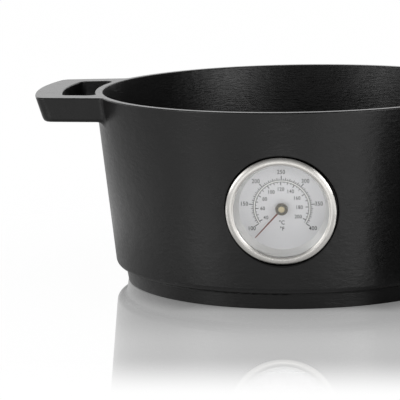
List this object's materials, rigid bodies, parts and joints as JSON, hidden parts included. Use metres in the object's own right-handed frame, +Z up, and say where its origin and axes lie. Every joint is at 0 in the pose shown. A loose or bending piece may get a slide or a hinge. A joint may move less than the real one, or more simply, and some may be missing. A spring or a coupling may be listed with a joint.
{
  "type": "dutch oven",
  "caption": "Round cast-iron pot with tapered wall, stepped foot, two loop handles and a dial thermometer sunk in the wall.",
  "frame": {"origin": "centre of the foot ring, on the surface that the pot stands on", "axes": "+Z up along the pot's axis, +X out through one handle, -Y out through the dial"},
  "size_m": [0.3266, 0.2518, 0.12],
  "materials": {
    "black_enamelled_iron": "satin black enamel over cast iron",
    "thermal_pad": "matte",
    "nickel_plated_magnet": "satin nickel plate",
    "black_silicone": "matte",
    "pressed_steel": "satin",
    "polished_steel": "polished",
    "clear_glass": "clear",
    "satin_steel": "satin",
    "printed_dial": "satin silver with a printed scale",
    "turned_brass": "polished",
    "bimetal_strip": "satin",
    "painted_pointer": "thin dark red-brown paint"
  },
  "bodies": {
    "pot": {"pot_casting": "black_enamelled_iron", "heat_pad": "thermal_pad", "magnets": "nickel_plated_magnet", "seal_ring": "black_silicone", "rear_case": "pressed_steel", "bezel_ring": "polished_steel", "lens_gasket": "black_silicone", "lens": "clear_glass", "dial_surround": "satin_steel", "dial_plate": "printed_dial", "rear_bearing": "turned_brass", "front_bearing": "turned_brass", "bearing_bridge": "pressed_steel", "bridge_screws": "pressed_steel", "bimetal_coil": "bimetal_strip", "coil_stud": "turned_brass"},
    "pointer": {"spindle": "pressed_steel", "coil_collet": "turned_brass", "pointer_bush": "turned_brass", "pointer": "painted_pointer"}
  },
  "joints": [
    {"name": "pointer_turn", "type": "hinge", "parent": "pot", "child": "pointer", "pos_m": [0, -0.11036, 0.06198], "axis": [0, 0.9925, 0.1219], "range_deg": [-45, 275], "stiffness_Nm_per_rad": 0.0011}
  ]
}
